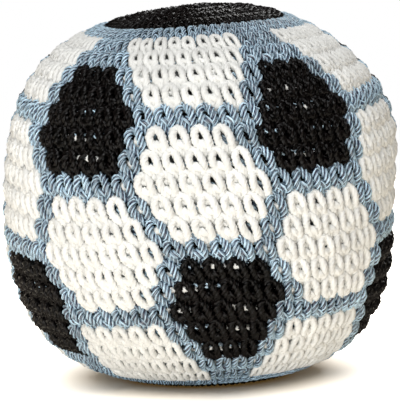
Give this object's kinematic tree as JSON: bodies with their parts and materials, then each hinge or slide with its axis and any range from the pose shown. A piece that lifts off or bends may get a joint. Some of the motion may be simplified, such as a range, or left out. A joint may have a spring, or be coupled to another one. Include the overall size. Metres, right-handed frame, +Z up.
{
  "type": "footbag",
  "caption": "Round crocheted footbag with a black and white football pattern outlined in grey-blue, filled with plastic pellets.",
  "frame": {"origin": "middle of the flat that the bag rests on", "axes": "+Z up through both poles of the crocheted cover, +X to the right in the picture, -Y towards the viewer"},
  "size_m": [0.055, 0.055, 0.0519],
  "materials": {
    "black_yarn": "mercerised cotton yarn, soft sheen",
    "white_yarn": "mercerised cotton yarn, soft sheen",
    "grey_blue_yarn": "mercerised cotton yarn, soft sheen",
    "pellets": "smooth plastic"
  },
  "bodies": {
    "root": {"black_disc_top": "black_yarn", "black_disc_bottom": "black_yarn", "black_patch_upper_1": "black_yarn", "black_patch_upper_2": "black_yarn", "black_patch_upper_3": "black_yarn", "black_patch_upper_4": "black_yarn", "black_patch_upper_5": "black_yarn", "black_patch_lower_1": "black_yarn", "black_patch_lower_2": "black_yarn", "black_patch_lower_3": "black_yarn", "black_patch_lower_4": "black_yarn", "black_patch_lower_5": "black_yarn", "white_patch_top_1": "white_yarn", "white_patch_top_2": "white_yarn", "white_patch_top_3": "white_yarn", "white_patch_top_4": "white_yarn", "white_patch_top_5": "white_yarn", "white_patch_upper_1": "white_yarn", "white_patch_upper_2": "white_yarn", "white_patch_upper_3": "white_yarn", "white_patch_upper_4": "white_yarn", "white_patch_upper_5": "white_yarn", "white_patch_lower_1": "white_yarn", "white_patch_lower_2": "white_yarn", "white_patch_lower_3": "white_yarn", "white_patch_lower_4": "white_yarn", "white_patch_lower_5": "white_yarn", "white_patch_bottom_1": "white_yarn", "white_patch_bottom_2": "white_yarn", "white_patch_bottom_3": "white_yarn", "white_patch_bottom_4": "white_yarn", "white_patch_bottom_5": "white_yarn", "grey_outline": "grey_blue_yarn", "pellet_fill": "pellets"}
  },
  "joints": []
}
